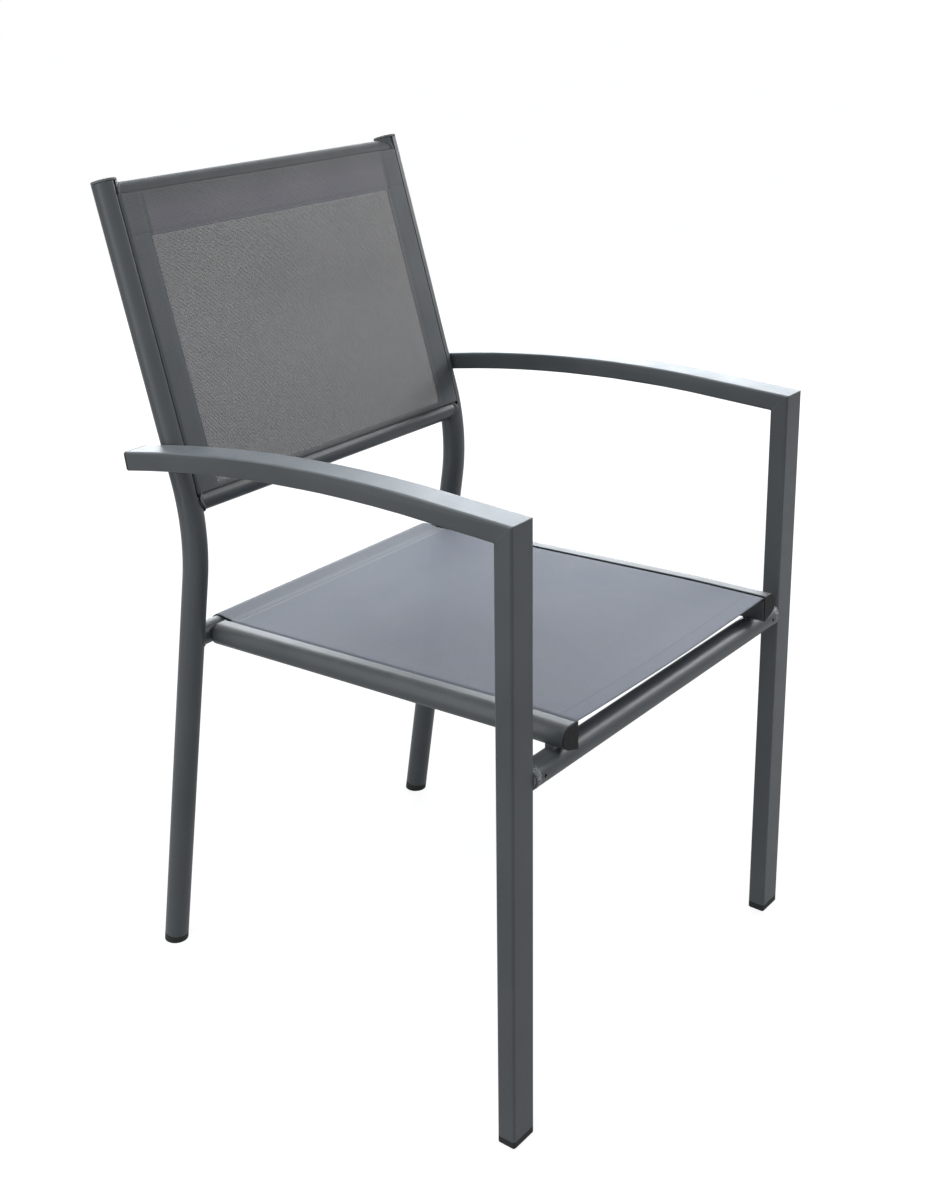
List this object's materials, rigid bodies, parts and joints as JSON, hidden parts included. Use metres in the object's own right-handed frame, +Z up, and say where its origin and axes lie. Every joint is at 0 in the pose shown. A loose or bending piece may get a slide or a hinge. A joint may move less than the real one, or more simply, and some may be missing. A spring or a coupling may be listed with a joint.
{
  "type": "stacking patio armchair",
  "caption": "Garden armchair with a painted tube frame, flat mitred arms on square front legs, round bent rear legs, and a stretched fabric seat and back.",
  "frame": {"origin": "middle of the chair's outline on the ground it stands on", "axes": "+Z up, the chair faces -Y, and +X is the sitter's left"},
  "size_m": [0.55, 0.592, 0.9125],
  "materials": {
    "frame": "fine-textured satin powder coat",
    "plugs": "matt moulded plastic",
    "seat_cloth": "woven coated polyester mesh",
    "back_cloth": "woven coated polyester mesh",
    "cord": "extruded plastic cord"
  },
  "bodies": {
    "root": {"front_leg_right": "frame", "front_leg_left": "frame", "arm_right": "frame", "arm_left": "frame", "rear_tube_right": "frame", "rear_tube_left": "frame", "front_cross_tube": "frame", "seat_back_tube": "frame", "low_back_tube": "frame", "top_back_tube": "frame", "seat_rail_right": "frame", "seat_rail_left": "frame", "rail_bracket_right": "frame", "rail_bracket_left": "frame", "seat_fabric": "seat_cloth", "back_fabric": "back_cloth", "seat_hem_cord_right": "cord", "seat_hem_cord_left": "cord", "back_hem_cord_right": "cord", "back_hem_cord_left": "cord", "arm_end_cap_right": "plugs", "arm_end_cap_left": "plugs", "front_foot_right": "plugs", "front_foot_left": "plugs", "rear_foot_right": "plugs", "rear_foot_left": "plugs", "top_cap_right": "plugs", "top_cap_left": "plugs", "rail_front_plug_right": "plugs", "rail_front_plug_left": "plugs", "rail_rear_plug_right": "plugs", "rail_rear_plug_left": "plugs"}
  },
  "joints": []
}
